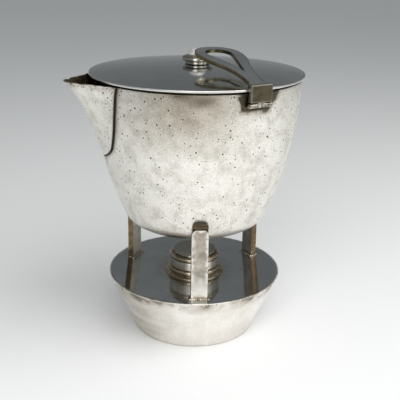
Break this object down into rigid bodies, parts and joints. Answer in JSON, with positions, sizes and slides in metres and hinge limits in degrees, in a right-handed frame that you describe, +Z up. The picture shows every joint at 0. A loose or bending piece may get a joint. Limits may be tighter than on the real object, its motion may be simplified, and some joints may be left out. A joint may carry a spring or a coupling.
{
  "type": "coffee pot on burner stand",
  "caption": "Plain silver-plated coffee pot with a beak spout and a hinged lid, standing loosely on a spirit-burner stand with a lift-off snuffer.",
  "frame": {"origin": "centre of the stand's underside, on the table", "axes": "+Z up along the pot's axis, the lid's hinge on the -Y side, the spout near -X"},
  "size_m": [0.1268, 0.117, 0.1596],
  "materials": {
    "satin_silver": "silver plate over brass, satin, warm white",
    "pitted_silver": "silver plate over brass, worn satin with small dark pits",
    "polished_silver": "silver plate over brass, mirror polished",
    "worn_silver": "silver plate over brass, brushed, brown along the sides",
    "tarnished_silver": "silver plate over brass, tarnished olive brown at the edges",
    "burner_metal": "silver plate over brass, heat-tarnished brown",
    "wick_cotton": "plaited cotton, matte"
  },
  "bodies": {
    "stand": {"base_bowl": "satin_silver", "base_top_plate": "polished_silver", "leg_front": "worn_silver", "leg_right": "worn_silver", "leg_rear": "worn_silver", "saddle_front": "tarnished_silver", "saddle_right": "tarnished_silver", "saddle_rear": "tarnished_silver", "burner_collar": "burner_metal"},
    "burner": {"burner_head": "burner_metal", "wick_tube": "burner_metal", "wick": "wick_cotton"},
    "snuffer": {"snuffer_neck": "burner_metal", "snuffer_bead": "burner_metal", "snuffer_top": "burner_metal"},
    "pot": {"pot_body": "pitted_silver", "spout": "pitted_silver", "hinge_plate": "tarnished_silver", "pot_knuckles": "tarnished_silver", "hinge_pin": "tarnished_silver"},
    "lid": {"lid_plate": "polished_silver", "lid_bezel": "polished_silver", "knob_foot": "polished_silver", "knob_ring": "polished_silver", "knob_post": "polished_silver", "lid_strap": "tarnished_silver", "hinge_block": "tarnished_silver", "lid_knuckle": "tarnished_silver"}
  },
  "joints": [
    {"name": "pot_lift", "type": "slide", "parent": "stand", "child": "pot", "axis": [0, 0, 1], "range_m": [0, 0.06]},
    {"name": "lid_hinge", "type": "hinge", "parent": "pot", "child": "lid", "pos_m": [0, -0.0585, 0.1387], "axis": [1, 0, 0], "range_deg": [0, 105]},
    {"name": "burner_turn", "type": "hinge", "parent": "stand", "child": "burner", "pos_m": [0, 0, 0.03], "axis": [0, 0, 1], "continuous": true},
    {"name": "snuffer_lift", "type": "slide", "parent": "burner", "child": "snuffer", "axis": [0, 0, 1], "range_m": [0, 0.014]}
  ]
}
